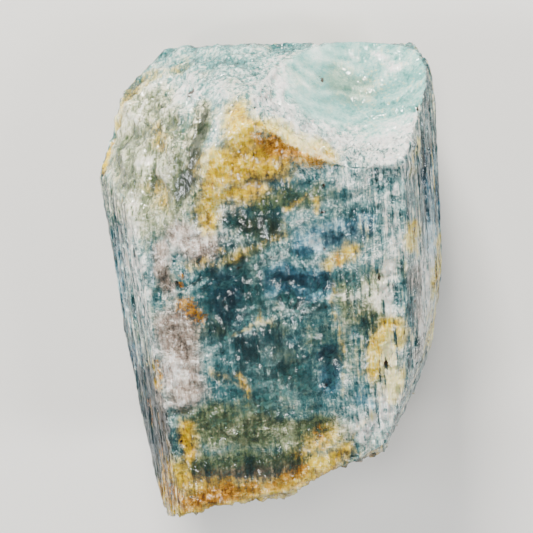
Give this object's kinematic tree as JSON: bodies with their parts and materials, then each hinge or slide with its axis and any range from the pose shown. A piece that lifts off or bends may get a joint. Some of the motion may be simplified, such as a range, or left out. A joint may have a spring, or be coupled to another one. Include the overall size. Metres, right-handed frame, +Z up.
{
  "type": "aquamarine crystal",
  "caption": "Stubby six-sided aquamarine prism with broken ends, iron stains and growth grooves, lying on its flat back prism face.",
  "frame": {"origin": "on the surface that the crystal lies on, under the middle of its box", "axes": "+Y along the prism from the iron-stained base to the broken top, +Z up and out of the front prism face, +X towards the steep right-hand prism face"},
  "size_m": [0.0238, 0.0326, 0.017],
  "materials": {
    "beryl": "translucent, frosted and iron-stained"
  },
  "bodies": {
    "root": {"aquamarine_crystal": "beryl"}
  },
  "joints": []
}
